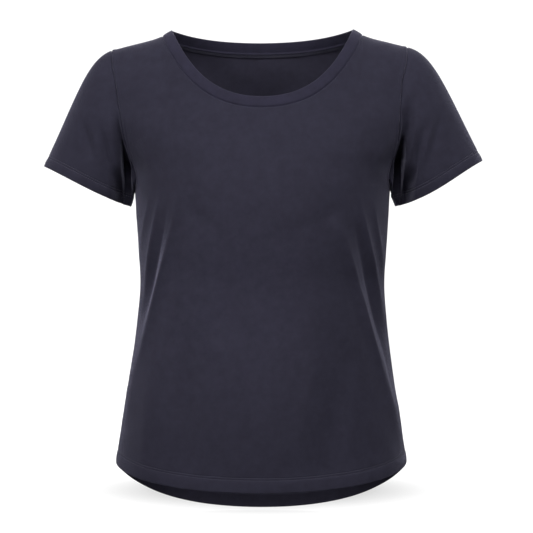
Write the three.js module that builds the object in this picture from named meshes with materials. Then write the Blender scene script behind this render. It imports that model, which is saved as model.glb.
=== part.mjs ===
// A scoop-neck T-shirt of cotton jersey with a curved tail hem, filled out as it is when worn.
// Millimetres, +Z up; the front faces -Y and the wearer's left arm is on +X.
// The origin is midway between the two neck points, where the wearer's shoulders carry the shirt.
// Five cut pieces are sewn together: front, back, two set-in sleeves and a folded neckband.
// Front and back lie on one smooth form, and the other pieces start from their cut edges.

import * as THREE from 'three';

// ---- cloth and seams ----
const WALL = 1.5;
const BAND_WIDTH = 14.5;
const BAND_WALL = 2;
const BAND_PROUD = 0.25;
const BAND_EDGE_RADIUS = 0.9;
const BAND_STAND = 0.12;
const SEAM_GAP = 0.3;

// ---- the form under the cloth, a row for each height ----
// width is half the distance between the side seams, front and back are how far the cloth stands
// out from the line of the side seams, and square is the section's exponent, 2 for an ellipse.
const sections = [
  { z: 20, width: 243, front: 74, back: 80, square: 2.8 },
  { z: -41, width: 240, front: 76, back: 87, square: 2.8 },
  { z: -71, width: 233, front: 80, back: 92, square: 2.8 },
  { z: -97, width: 219, front: 86, back: 97, square: 2.8 },
  { z: -120, width: 208, front: 94, back: 101, square: 2.8 },
  { z: -157, width: 184, front: 107.5, back: 104, square: 2.8 },
  { z: -179, width: 171, front: 114, back: 104, square: 2.75 },
  { z: -203, width: 166, front: 118.5, back: 102.5, square: 2.65 },
  { z: -240, width: 163.7, front: 120.5, back: 98, square: 2.5 },
  { z: -281, width: 161, front: 116, back: 91.5, square: 2.4 },
  { z: -328, width: 158.6, front: 109, back: 87, square: 2.3 },
  { z: -375, width: 162, front: 107, back: 90, square: 2.25 },
  { z: -414, width: 166.5, front: 108.5, back: 96, square: 2.2 },
  { z: -453, width: 172, front: 111, back: 103, square: 2.2 },
  { z: -492, width: 178.5, front: 113.5, back: 109, square: 2.2 },
  { z: -531, width: 184.5, front: 115.5, back: 113, square: 2.2 },
  { z: -559, width: 188.8, front: 116.5, back: 115, square: 2.2 },
  { z: -640, width: 193, front: 118, back: 117, square: 2.2 },
];

// ---- shoulders ----
// The cloth rolls over the shoulders above CHEST_LEVEL. The shoulder seam falls evenly towards the
// sleeve, and the form rises more steeply towards the neck.
const CHEST_LEVEL = -150;
const NECK_POINT_X = 130;
const SHOULDER_HEIGHT = -7.1;
const SHOULDER_FALL = 0.249;
const NECK_RISE = 39;
const NECK_RISE_REACH = 146;

// ---- how the whole shirt sits askew ----
const SHOULDER_TILT = 0.006;
const TILT_FROM = -320;
const TILT_FULL = -120;
const HEM_LEAN = 1.5;
const LEAN_FROM = -250;
const LEAN_FULL = -540;

// ---- armholes ----
// left and right are how far, in degrees round the section, each armhole edge stays from the line of
// its side seam. The shirt sits a little askew, so that the two differ.
const UNDERARM_LEVEL = -203;
const ARMHOLE_BOTTOM_HEIGHT = 16;
const COLUMN_CROWDING = 1.5;
const armhole = [
  { z: 20, left: 38.5, right: 35.5 },
  { z: -41, left: 39, right: 35.8 },
  { z: -71, left: 39.6, right: 36 },
  { z: -97, left: 36, right: 32.5 },
  { z: -120, left: 32.2, right: 30 },
  { z: -157, left: 21.5, right: 20.5 },
  { z: -179, left: 15.8, right: 15.8 },
  { z: -203, left: 15.5, right: 15.5 },
];

// ---- front and back, which differ in depth, neck seam and length of tail ----
// The hem falls from the side seams as a cosine of the angle round the section, eased at the sides.
const HEM_SIDE_LEVEL = -559;
const HEM_EASE = 0.27;
const neckSeamZ = shoulderHeight(NECK_POINT_X);
const halves = {
  front: { sign: -1, depth: 'front', tail: 30.4, neck: neckSeam(105, -61, 72, -104) },
  back: { sign: 1, depth: 'back', tail: 71.4, neck: neckSeam(105, -16, 62, -23) },
};

// ---- the largest folds, soft ridges (height above 0) and troughs (below 0) on the panels ----
const folds = [
  { half: 'front', x1: -140, z1: -236, x2: -157, z2: -318, reach: 8, height: 2.5 },
  { half: 'front', x1: -120, z1: -241, x2: -162, z2: -405, reach: 9, height: 4 },
  { half: 'front', x1: -134, z1: -250, x2: -150, z2: -335, reach: 8, height: -4 },
  { half: 'front', x1: 135, z1: -242, x2: 158, z2: -357, reach: 8, height: 3 },
  { half: 'front', x1: 128, z1: -316, x2: 180, z2: -513, reach: 10, height: 4 },
  { half: 'front', x1: 138, z1: -300, x2: 162, z2: -410, reach: 9, height: -4 },
  { half: 'back', x1: -108, z1: -225, x2: -150, z2: -390, reach: 11, height: 4 },
  { half: 'back', x1: -124, z1: -250, x2: -152, z2: -350, reach: 10, height: -4 },
  { half: 'back', x1: 112, z1: -232, x2: 158, z2: -420, reach: 11, height: 4 },
  { half: 'back', x1: 128, z1: -255, x2: 154, z2: -365, reach: 10, height: -4 },
  { half: 'back', x1: -60, z1: -300, x2: 62, z2: -318, reach: 14, height: -3 },
];
const FOLD_CLEAR_OF_SEAM = 14;

// ---- sleeves ----
// The cuff runs between its top and under ends, seen from the front, and hangs below that line by
// sag. The top line leaves the shoulder falling by capFall degrees.
const CUFF_HALF_DEPTH = 52;
const sleeves = [
  { name: 'sleeve_left', side: 1, capFall: 13, sag: 4.8, topX: 286, topZ: -169.5, underX: 173, underZ: -227.5 },
  { name: 'sleeve_right', side: -1, capFall: 21, sag: 2.2, topX: 284, topZ: -174, underX: 171.5, underZ: -227 },
];
const HEAD_UNDER_RUN = new THREE.Vector3(0.45, 0, -0.89);
const HEAD_FULLNESS = 0.4;
const HEAD_PULL = 0.2;
const CUFF_PULL = 0.6;
// around is the place of a sleeve fold in degrees from the top line, to the front if above 0.
const sleeveFolds = [
  { around: 62, spread: 14, height: -3, from: 0.25, to: 1 },
  { around: 95, spread: 12, height: -4, from: 0.1, to: 1 },
  { around: -75, spread: 14, height: -3.5, from: 0.15, to: 1 },
];

// ---- how finely the pieces are divided ----
const NECK_COLUMNS = 10;
const SHOULDER_COLUMNS = 7;
const ROWS_BELOW_ARM = 13;
const ROWS_ABOVE_ARM = 11;
const SLEEVE_ROWS = 7;

// ---- colours ----
const JERSEY_NAVY = '#32313f';
const BAND_NAVY = '#37364a';

// ---- small helpers ----

// A smooth curve through one column of a table whose rows go down in z.
function curveThrough(rows, key) {
  const slopes = rows.map((row, i) => {
    const above = rows[Math.max(i - 1, 0)];
    const below = rows[Math.min(i + 1, rows.length - 1)];
    return (below[key] - above[key]) / (below.z - above.z);
  });
  return (height) => {
    const z = THREE.MathUtils.clamp(height, rows.at(-1).z, rows[0].z);
    let i = 0;
    while (i < rows.length - 2 && z < rows[i + 1].z) i += 1;
    const span = rows[i + 1].z - rows[i].z;
    const t = (z - rows[i].z) / span;
    const from = rows[i][key] * (1 + 2 * t) * (1 - t) ** 2;
    const to = rows[i + 1][key] * t * t * (3 - 2 * t);
    const bend = slopes[i] * t * (1 - t) ** 2 - slopes[i + 1] * t * t * (1 - t);
    return from + to + bend * span;
  };
}

// The argument between low and high at which a rising function crosses zero.
function crossing(rising, low, high) {
  let below = low;
  let above = high;
  for (let step = 0; step < 50; step += 1) {
    const middle = (below + above) / 2;
    if (rising(middle) < 0) below = middle;
    else above = middle;
  }
  return (below + above) / 2;
}

// ---- the form ----

const halfWidth = curveThrough(sections, 'width');
const squareness = curveThrough(sections, 'square');
const insetLeft = curveThrough(armhole, 'left');
const insetRight = curveThrough(armhole, 'right');
const depthOf = {
  front: curveThrough(sections, 'front'),
  back: curveThrough(sections, 'back'),
};

// Height of the shoulder seam line, continued over the neck opening.
function shoulderHeight(x) {
  const nearNeck = Math.max(0, 1 - (x / NECK_RISE_REACH) ** 2);
  return SHOULDER_HEIGHT + (NECK_POINT_X - Math.abs(x)) * SHOULDER_FALL + NECK_RISE * nearNeck ** 2;
}

// Zero on the form and above zero outside it: an oval section that closes over the shoulders.
function outsideForm(half, x, y, z) {
  const across = 1 - (Math.abs(x) / halfWidth(z)) ** squareness(z);
  const rise = Math.max(0, (z - CHEST_LEVEL) / (shoulderHeight(x) - CHEST_LEVEL));
  return (y / depthOf[half.depth](z)) ** 2 - across * (1 - rise * rise);
}

// The point of the form at x and z, kept half a seam gap away from the other half.
function pointOnForm(half, x, z) {
  const share = Math.max(0, -outsideForm(half, x, 0, z));
  const reach = depthOf[half.depth](z) * Math.sqrt(share);
  return new THREE.Vector3(x, half.sign * Math.max(reach, SEAM_GAP / 2), z);
}

function normalOfForm(half, point) {
  const h = 0.5;
  const { x, y, z } = point;
  const value = (dx, dy, dz) => outsideForm(half, x + dx, y + dy, z + dz);
  return new THREE.Vector3(
    value(h, 0, 0) - value(-h, 0, 0),
    value(0, h, 0) - value(0, -h, 0),
    value(0, 0, h) - value(0, 0, -h),
  ).normalize();
}

// The neck seam seen from the front: from the neck point, level at the middle of the shirt.
function neckSeam(pullX, pullZ, centrePullX, centreZ) {
  return new THREE.CubicBezierCurve(
    new THREE.Vector2(NECK_POINT_X, neckSeamZ),
    new THREE.Vector2(pullX, pullZ),
    new THREE.Vector2(centrePullX, centreZ),
    new THREE.Vector2(0, centreZ),
  );
}

// Height of a panel's top edge at x: the neck seam inside the neck point, the shoulder seam outside.
function topHeight(half, x) {
  if (Math.abs(x) >= NECK_POINT_X) return shoulderHeight(x);
  const t = crossing((share) => Math.abs(x) - half.neck.getPoint(share).x, 0, 1);
  return half.neck.getPoint(t).y;
}

// ---- front and back panels ----

// x of column u (from -1 at one side seam to 1 at the other) at height z. Above the underarm the
// outer columns are drawn in to the armhole edge, whose bottom is a quarter of an ellipse.
function columnX(u, z) {
  const above = Math.max(0, z - UNDERARM_LEVEL) / ARMHOLE_BOTTOM_HEIGHT;
  const round = Math.sqrt(1 - (1 - Math.min(above, 1)) ** 2);
  const edgeInset = u > 0 ? insetLeft(z) : insetRight(z);
  const inset = edgeInset * round * Math.abs(u) ** COLUMN_CROWDING;
  const angle = THREE.MathUtils.degToRad(90 * Math.abs(u) - inset);
  return Math.sign(u) * halfWidth(z) * Math.sin(angle);
}

function columnTop(half, u) {
  return crossing((z) => z - topHeight(half, columnX(u, z)), UNDERARM_LEVEL, NECK_RISE);
}

// The column that ends at the neck point.
function neckPointColumn(half) {
  return crossing((u) => columnX(u, columnTop(half, u)) - NECK_POINT_X, 0.1, 0.9);
}

// Heights of a column's points: even from the hem to the underarm, then along the roll of the
// shoulder, closer together near the bottom of the armhole on the outer columns.
function columnHeights(half, u) {
  const angle = (u * Math.PI) / 2;
  const hem = HEM_SIDE_LEVEL - half.tail * Math.cos(angle) * (1 - HEM_EASE * Math.sin(angle) ** 6);
  const top = columnTop(half, u);
  const roll = shoulderHeight(columnX(u, top)) - CHEST_LEVEL;
  const topArc = roll * Math.asin(Math.min(1, (top - CHEST_LEVEL) / roll));
  const heights = [];
  for (let i = 0; i < ROWS_BELOW_ARM; i += 1) {
    heights.push(THREE.MathUtils.lerp(hem, UNDERARM_LEVEL, i / ROWS_BELOW_ARM));
  }
  for (let i = 0; i <= ROWS_ABOVE_ARM; i += 1) {
    const share = (i / ROWS_ABOVE_ARM) ** (1 + 0.7 * Math.abs(u) ** 3);
    const arc = THREE.MathUtils.lerp(UNDERARM_LEVEL - CHEST_LEVEL, topArc, share);
    heights.push(CHEST_LEVEL + (arc < 0 ? arc : roll * Math.sin(arc / roll)));
  }
  heights[heights.length - 1] = top;
  return heights;
}

// How far a fold moves the cloth out at a point: a soft ridge along a line, fading at its ends.
function foldHeight(halfName, point) {
  let height = 0;
  for (const fold of folds.filter((row) => row.half === halfName)) {
    const from = new THREE.Vector2(fold.x1, fold.z1);
    const along = new THREE.Vector2(fold.x2, fold.z2).sub(from);
    const away = new THREE.Vector2(point.x, point.z).sub(from);
    const share = away.dot(along) / along.lengthSq();
    const aside = Math.abs(away.cross(along)) / along.length();
    const fade = Math.max(0, 4 * share * (1 - share));
    height += fold.height * fade * Math.exp(-((aside / fold.reach) ** 2));
  }
  return height * Math.min(1, Math.abs(point.y) / FOLD_CLEAR_OF_SEAM);
}

// A panel as rows of outer points from the hem up, with the normal at each.
function panelGrid(halfName) {
  const half = halves[halfName];
  const neckColumn = neckPointColumn(half);
  const positive = [];
  for (let i = 1; i <= NECK_COLUMNS; i += 1) {
    positive.push(neckColumn * Math.sin((i / NECK_COLUMNS) * (Math.PI / 2)));
  }
  for (let i = 1; i <= SHOULDER_COLUMNS; i += 1) {
    positive.push(THREE.MathUtils.lerp(neckColumn, 1, i / SHOULDER_COLUMNS));
  }
  const columns = [...positive.map((u) => -u).reverse(), 0, ...positive];
  const heights = columns.map((u) => columnHeights(half, u));
  const outer = [];
  const normals = [];
  for (let row = 0; row < heights[0].length; row += 1) {
    const onForm = columns.map((u, i) => pointOnForm(half, columnX(u, heights[i][row]), heights[i][row]));
    normals.push(onForm.map((point) => normalOfForm(half, point)));
    outer.push(onForm.map((point, i) => {
      return point.clone().addScaledVector(normals[row][i], foldHeight(halfName, point));
    }));
  }
  return { outer, normals };
}

// ---- closed walls ----

// The whole shirt sits slightly askew: the left shoulder is higher and the hem swings to the right.
function sitAskew({ x, y, z }) {
  const upper = THREE.MathUtils.smoothstep(z, TILT_FROM, TILT_FULL);
  const lower = 1 - THREE.MathUtils.smoothstep(z, LEAN_FULL, LEAN_FROM);
  return new THREE.Vector3(x - HEM_LEAN * lower, y, z + SHOULDER_TILT * upper * x);
}

// Makes a closed body of triangles whose faces point out.
function closedBody(points, quads) {
  const index = quads.flatMap(([a, b, c, d]) => {
    const isShorter = points[a].distanceTo(points[c]) < points[b].distanceTo(points[d]);
    return isShorter ? [a, b, c, a, c, d] : [b, c, d, b, d, a];
  });
  let volume = 0;
  for (let i = 0; i < index.length; i += 3) {
    const [a, b, c] = [points[index[i]], points[index[i + 1]], points[index[i + 2]]];
    volume += a.dot(b.clone().cross(c));
  }
  if (volume < 0) index.reverse();
  const geometry = new THREE.BufferGeometry().setFromPoints(points.map(sitAskew));
  geometry.setIndex(index);
  geometry.computeVertexNormals();
  return geometry;
}

// A wall between two grids of points. In a ring the last column joins the first.
function wallBetween(outer, inner, isRing) {
  const rows = outer.length;
  const columns = outer[0].length;
  const points = [...outer.flat(), ...inner.flat()];
  const outside = (row, column) => row * columns + (column % columns);
  const inside = (row, column) => rows * columns + outside(row, column);
  const steps = isRing ? columns : columns - 1;
  const quads = [];
  for (let c = 0; c < steps; c += 1) {
    for (let r = 0; r < rows - 1; r += 1) {
      quads.push([outside(r, c), outside(r, c + 1), outside(r + 1, c + 1), outside(r + 1, c)]);
      quads.push([inside(r, c), inside(r + 1, c), inside(r + 1, c + 1), inside(r, c + 1)]);
    }
    quads.push([inside(0, c), inside(0, c + 1), outside(0, c + 1), outside(0, c)]);
    const last = rows - 1;
    quads.push([outside(last, c), outside(last, c + 1), inside(last, c + 1), inside(last, c)]);
  }
  for (let r = 0; r < rows - 1 && !isRing; r += 1) {
    const last = columns - 1;
    quads.push([outside(r, 0), outside(r + 1, 0), inside(r + 1, 0), inside(r, 0)]);
    quads.push([inside(r, last), inside(r + 1, last), outside(r + 1, last), outside(r, last)]);
  }
  return closedBody(points, quads);
}

function panelWall(grid) {
  const inner = grid.outer.map((row, r) => {
    return row.map((point, c) => point.clone().addScaledVector(grid.normals[r][c], -WALL));
  });
  return wallBetween(grid.outer, inner, false);
}

// ---- seam loops, which the neckband and the sleeves start from ----

// A closed loop of seam points, each with the panel's normal and the direction across the seam.
function seamLoop(points, normals, turn) {
  return points.map((point, i) => {
    const before = points[(i + points.length - 1) % points.length];
    const after = points[(i + 1) % points.length];
    const along = after.clone().sub(before).normalize();
    const across = along.clone().cross(normals[i]).normalize().multiplyScalar(turn);
    return { point, normal: normals[i], across };
  });
}

function midway(a, b) {
  return a.clone().add(b).multiplyScalar(0.5);
}

// Joins a run of front points and a run of back points that meet at both ends into one loop.
function joinRuns(front, back) {
  const start = midway(front[0], back.at(-1));
  const turn = midway(front.at(-1), back[0]);
  return [start, ...front.slice(1, -1), turn, ...back.slice(1, -1)];
}

function neckLoop(front, back) {
  const from = SHOULDER_COLUMNS;
  const to = SHOULDER_COLUMNS + 2 * NECK_COLUMNS + 1;
  const run = (grid, key) => grid[key].at(-1).slice(from, to);
  const points = joinRuns(run(front, 'outer'), run(back, 'outer').reverse());
  const normals = joinRuns(run(front, 'normals'), run(back, 'normals').reverse());
  return seamLoop(points, normals.map((normal) => normal.normalize()), -1);
}

function armholeLoop(front, back, side) {
  const edge = side > 0 ? front.outer[0].length - 1 : 0;
  const run = (grid, key) => grid[key].slice(ROWS_BELOW_ARM).map((row) => row[edge]);
  const points = joinRuns(run(front, 'outer'), run(back, 'outer').reverse());
  const normals = joinRuns(run(front, 'normals'), run(back, 'normals').reverse());
  return seamLoop(points, normals.map((normal) => normal.normalize()), side);
}

// ---- neckband ----

// A folded strip whose section stands on the neck seam, with its fold along the neckline.
function neckband(loop) {
  const top = BAND_WIDTH;
  const shoulder = BAND_WIDTH - BAND_EDGE_RADIUS;
  const face = BAND_PROUD;
  const back = BAND_PROUD - BAND_WALL;
  const outline = [
    [SEAM_GAP, face],
    [shoulder, face],
    [top, (face + back) / 2],
    [shoulder, back],
    [SEAM_GAP, back],
  ];
  const points = loop.flatMap(({ point, normal, across }) => outline.map(([up, out]) => {
    return point.clone().addScaledVector(across, up).addScaledVector(normal, out + BAND_STAND * up);
  }));
  const count = outline.length;
  const quads = [];
  for (let i = 0; i < loop.length; i += 1) {
    const next = (i + 1) % loop.length;
    for (let k = 0; k < count; k += 1) {
      const step = (k + 1) % count;
      quads.push([i * count + k, next * count + k, next * count + step, i * count + step]);
    }
  }
  return closedBody(points, quads);
}

// ---- sleeves ----

// Place of each loop point round the sleeve, in degrees from the top line, by length along the seam.
function anglesRound(loop) {
  const turn = loop.length / 2;
  const stepTo = (i) => loop[i % loop.length].point.distanceTo(loop[i - 1].point);
  const frontRun = [0];
  const backRun = [0];
  for (let i = 1; i <= turn; i += 1) {
    frontRun.push(frontRun[i - 1] + stepTo(i));
    backRun.push(backRun[i - 1] + stepTo(turn + i));
  }
  return loop.map((_, i) => {
    if (i <= turn) return 180 * (1 - frontRun[i] / frontRun[turn]);
    return -180 * (backRun[i - turn] / backRun[turn]);
  });
}

// How far the sleeve's folds move the cloth out at an angle round it and a share of its length.
function sleeveFoldHeight(degrees, share) {
  let height = 0;
  for (const fold of sleeveFolds) {
    const aside = (degrees - fold.around) / fold.spread;
    const fade = THREE.MathUtils.smoothstep(share, fold.from, fold.to);
    height += fold.height * fade * Math.exp(-aside * aside);
  }
  return height;
}

// Rings from the armhole seam to the cuff. Each column is a cubic curve that leaves the seam in its
// own direction and reaches the cuff along the line of the arm.
function sleeve({ side, capFall, sag, topX, topZ, underX, underZ }, loop) {
  const top = new THREE.Vector3(side * topX, 0, topZ);
  const under = new THREE.Vector3(side * underX, 0, underZ);
  const fall = THREE.MathUtils.degToRad(capFall);
  const topRun = new THREE.Vector3(Math.cos(fall), 0, -Math.sin(fall));
  const centre = midway(top, under);
  const halfLine = top.clone().sub(centre);
  const arm = new THREE.Vector3(-side * halfLine.z, 0, side * halfLine.x).normalize().multiplyScalar(-1);
  const angles = anglesRound(loop);
  const curves = loop.map(({ point, normal, across }, i) => {
    const angle = THREE.MathUtils.degToRad(angles[i]);
    const upper = (1 + Math.cos(angle)) / 2;
    const leave = topRun.clone().multiplyScalar(upper).addScaledVector(HEAD_UNDER_RUN, 1 - upper);
    leave.x *= side;
    leave.y -= HEAD_FULLNESS * Math.sin(angle);
    leave.normalize();
    const valley = THREE.MathUtils.clamp(2 * leave.dot(normal), 0, 1);
    const start = point.clone().addScaledVector(across, SEAM_GAP).addScaledVector(normal, SEAM_GAP * valley);
    const end = centre.clone().addScaledVector(halfLine, Math.cos(angle));
    end.y -= CUFF_HALF_DEPTH * Math.sin(angle);
    end.addScaledVector(arm, sag * Math.sin(angle) ** 2 * (1 - Math.cos(angle)));
    const length = start.distanceTo(end);
    const curve = new THREE.CubicBezierCurve3(
      start,
      start.clone().addScaledVector(leave, HEAD_PULL * length),
      end.clone().addScaledVector(arm, -CUFF_PULL * length),
      end,
    );
    return { curve, angle: angles[i], isRidge: leave.dot(normal) < 0, panelNormal: normal };
  });
  const smooth = [];
  for (let row = 0; row <= SLEEVE_ROWS; row += 1) {
    smooth.push(curves.map(({ curve }) => curve.getPoint(row / SLEEVE_ROWS)));
  }
  const normals = smooth.map((ring, row) => ring.map((point, i) => {
    const around = ring[(i + 1) % ring.length].clone().sub(ring[(i + ring.length - 1) % ring.length]);
    const lower = smooth[Math.min(row + 1, SLEEVE_ROWS)][i];
    const upper = smooth[Math.max(row - 1, 0)][i];
    const normal = around.cross(lower.clone().sub(upper)).multiplyScalar(-side).normalize();
    if (row === 0 && curves[i].isRidge) normal.add(curves[i].panelNormal).normalize();
    return normal;
  }));
  const moved = (offset) => smooth.map((ring, row) => ring.map((point, i) => {
    const fold = sleeveFoldHeight(curves[i].angle, row / SLEEVE_ROWS);
    return point.clone().addScaledVector(normals[row][i], fold + offset);
  }));
  return wallBetween(moved(0), moved(-WALL), true);
}

// ---- the shirt ----

const shirt = new THREE.Group();

function addPiece(name, geometry, color) {
  const material = new THREE.MeshStandardMaterial({ color, roughness: 0.9, metalness: 0 });
  const mesh = new THREE.Mesh(geometry, material);
  mesh.name = name;
  shirt.add(mesh);
}

const frontGrid = panelGrid('front');
const backGrid = panelGrid('back');
addPiece('front', panelWall(frontGrid), JERSEY_NAVY);
addPiece('back', panelWall(backGrid), JERSEY_NAVY);
addPiece('neckband', neckband(neckLoop(frontGrid, backGrid)), BAND_NAVY);
for (const row of sleeves) {
  addPiece(row.name, sleeve(row, armholeLoop(frontGrid, backGrid, row.side)), JERSEY_NAVY);
}

export default shirt;
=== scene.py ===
import math

import bpy
import numpy as np
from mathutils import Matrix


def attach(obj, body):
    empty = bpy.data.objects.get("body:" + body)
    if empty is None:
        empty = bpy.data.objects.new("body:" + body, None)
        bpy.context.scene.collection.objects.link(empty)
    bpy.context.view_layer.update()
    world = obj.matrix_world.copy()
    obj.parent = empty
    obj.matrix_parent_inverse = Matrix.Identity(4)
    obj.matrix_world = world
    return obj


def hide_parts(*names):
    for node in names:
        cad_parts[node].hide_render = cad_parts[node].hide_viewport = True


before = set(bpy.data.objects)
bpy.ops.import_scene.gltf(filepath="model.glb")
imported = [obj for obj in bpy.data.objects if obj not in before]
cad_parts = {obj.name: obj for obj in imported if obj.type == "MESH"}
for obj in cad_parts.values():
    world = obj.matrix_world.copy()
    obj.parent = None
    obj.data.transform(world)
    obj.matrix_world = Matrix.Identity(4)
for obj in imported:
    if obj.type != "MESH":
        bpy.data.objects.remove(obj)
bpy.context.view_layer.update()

# ---- The worn form: what the front and back lie on ----
# A short-sleeved jersey shirt, filled out as it is when worn: an oval that narrows at the waist and
# closes over the shoulders. Metres, +Z up, the front faces -Y and the wearer's left arm is on +X.

# Half the distance between the side seams, how far the cloth stands out in front and at the back, and
# the section's exponent, which is 2 for an ellipse.
SECTIONS = np.array([
    # height, half width, front depth, back depth, squareness
    (-0.640, 0.1930, 0.1180, 0.1170, 2.20),
    (-0.559, 0.1888, 0.1165, 0.1150, 2.20),
    (-0.531, 0.1845, 0.1155, 0.1130, 2.20),
    (-0.492, 0.1785, 0.1135, 0.1090, 2.20),
    (-0.453, 0.1720, 0.1110, 0.1030, 2.20),
    (-0.414, 0.1665, 0.1085, 0.0960, 2.20),
    (-0.375, 0.1620, 0.1070, 0.0900, 2.25),
    (-0.328, 0.1586, 0.1090, 0.0870, 2.30),
    (-0.281, 0.1610, 0.1160, 0.0915, 2.40),
    (-0.240, 0.1637, 0.1205, 0.0980, 2.50),
    (-0.203, 0.1660, 0.1185, 0.1025, 2.65),
    (-0.179, 0.1710, 0.1140, 0.1040, 2.75),
    (-0.157, 0.1840, 0.1075, 0.1040, 2.80),
    (-0.120, 0.2080, 0.0940, 0.1010, 2.80),
    (-0.097, 0.2190, 0.0860, 0.0970, 2.80),
    (-0.071, 0.2330, 0.0800, 0.0920, 2.80),
    (-0.041, 0.2400, 0.0760, 0.0870, 2.80),
    (0.020, 0.2430, 0.0740, 0.0800, 2.80),
])
SECTION_LEVEL, HALF_WIDTH, FRONT_DEPTH, BACK_DEPTH, SQUARENESS = SECTIONS.T

# The cloth rolls over the shoulders above CHEST_LEVEL.
CHEST_LEVEL = -0.150
NECK_POINT_X = 0.130
SHOULDER_HEIGHT = -0.0071
SHOULDER_FALL = 0.249
NECK_RISE = 0.039
NECK_RISE_REACH = 0.146

# The whole shirt sits a little askew, its left shoulder higher and its hem swung to the right.
SHOULDER_TILT = 0.006
TILT_FROM, TILT_FULL = -0.320, -0.120
HEM_LEAN = 0.0015
LEAN_FROM, LEAN_FULL = -0.250, -0.540

# How finely slopes and crossings are worked out.
SLOPE_STEP = 0.0005
HALVINGS = 46


def smooth_step(value, low, high):
    """0 below low, 1 above high, and an S of 3t^2 - 2t^3 between them."""
    t = np.clip((value - low) / (high - low), 0, 1)
    return t * t * (3 - 2 * t)


def curve_through(levels, values, at):
    """A cubic between each two rows, whose slope at a row is that from the row below to the one above."""
    last = len(levels) - 1
    below = np.maximum(np.arange(last + 1) - 1, 0)
    above = np.minimum(np.arange(last + 1) + 1, last)
    slopes = (values[above] - values[below]) / (levels[above] - levels[below])
    at = np.clip(at, levels[0], levels[-1])
    i = np.clip(np.searchsorted(levels, at) - 1, 0, last - 1)
    span = levels[i + 1] - levels[i]
    t = (at - levels[i]) / span
    ends = values[i] * (1 + 2 * t) * (1 - t) ** 2 + values[i + 1] * t * t * (3 - 2 * t)
    return ends + span * (slopes[i] * t * (1 - t) ** 2 - slopes[i + 1] * t * t * (1 - t))


def crossing(rising, low, high):
    """The argument between low and high at which a rising function crosses zero, by halving."""
    for _ in range(HALVINGS):
        middle = (low + high) / 2
        is_low = rising(middle) < 0
        low, high = np.where(is_low, middle, low), np.where(is_low, high, middle)
    return (low + high) / 2


def half_width(z):
    return curve_through(SECTION_LEVEL, HALF_WIDTH, z)


def shoulder_height(x):
    """The shoulder seam falls evenly outwards, and rises as (1 - (x / reach)^2)^2 towards the neck."""
    near_neck = np.maximum(0, 1 - (x / NECK_RISE_REACH) ** 2)
    return SHOULDER_HEIGHT + (NECK_POINT_X - np.abs(x)) * SHOULDER_FALL + NECK_RISE * near_neck**2


def outside_form(x, y, z, depth):
    """Zero on the form: (y / depth)^2 = (1 - |x / width|^n) (1 - rise^2), with rise 1 at the shoulder."""
    across = 1 - (np.abs(x) / half_width(z)) ** curve_through(SECTION_LEVEL, SQUARENESS, z)
    rise = np.maximum(0, (z - CHEST_LEVEL) / (shoulder_height(x) - CHEST_LEVEL))
    return (y / curve_through(SECTION_LEVEL, depth, z)) ** 2 - across * (1 - rise * rise)


def on_form(x, z, depth, sign):
    """The form's points at x and z, and its outward normals from the slope of outside_form."""
    reach = np.sqrt(np.maximum(0, -outside_form(x, 0, z, depth)))
    y = sign * reach * curve_through(SECTION_LEVEL, depth, z)
    slope = np.stack([
        outside_form(x + dx, y + dy, z + dz, depth) - outside_form(x - dx, y - dy, z - dz, depth)
        for dx, dy, dz in SLOPE_STEP * np.eye(3)], axis=-1)
    return np.stack([x, y, z], axis=-1), unit(slope)


def unit(vectors):
    return vectors / np.linalg.norm(vectors, axis=-1, keepdims=True)


def sit_askew(points):
    """Lifts the left shoulder in step with x, and swings the hem sideways, both fading with height."""
    x, y, z = np.moveaxis(points, -1, 0)
    lift = SHOULDER_TILT * x * smooth_step(z, TILT_FROM, TILT_FULL)
    swing = HEM_LEAN * (1 - smooth_step(z, LEAN_FULL, LEAN_FROM))
    return np.stack([x - swing, y, z + lift], axis=-1)


# ---- Front and back panels ----
# Each is one cut of cotton single jersey, about 180 g to the square metre and 0.7 mm thick. They are
# overlocked together at the shoulders and sides, and the hem is folded up inside once.
JERSEY_THICKNESS = 0.0007
HEM_THICKNESS = 0.0016
HEM_DEPTH = 0.0205
HEM_NEEDLES = (0.0160, 0.0189)
RAW_EDGE = 0.0004
HEM_PUFF = 0.00045
GROOVE_DEPTH = 0.00045
REVERSE_GROOVE_DEPTH = 0.0001
GROOVE_REACH = 0.0007

# Armholes: how far, in degrees round the section, each edge stays from the line of its side seam.
UNDERARM_LEVEL = -0.203
ARMHOLE_BOTTOM_HEIGHT = 0.016
ARMHOLE_BOTTOM_SPREAD = 6
COLUMN_CROWDING = 1.5
ARMHOLE = np.array([
    # height, left, right
    (-0.203, 15.5, 15.5),
    (-0.179, 15.8, 15.8),
    (-0.157, 21.5, 20.5),
    (-0.120, 32.2, 30.0),
    (-0.097, 36.0, 32.5),
    (-0.071, 39.6, 36.0),
    (-0.041, 39.0, 35.8),
    (0.020, 38.5, 35.5),
])
ARMHOLE_LEVEL, INSET_LEFT, INSET_RIGHT = ARMHOLE.T

# Each half's side of the shirt, depths, drop of its tail, and the pull points (x, z) of its neck seam.
HEM_SIDE_LEVEL = -0.559
HEM_EASE = 0.27
HALVES = {
    "front": (-1, FRONT_DEPTH, 0.0304, (0.105, -0.061), (0.072, -0.104)),
    "back": (1, BACK_DEPTH, 0.0714, (0.105, -0.016), (0.062, -0.023)),
}

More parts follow.
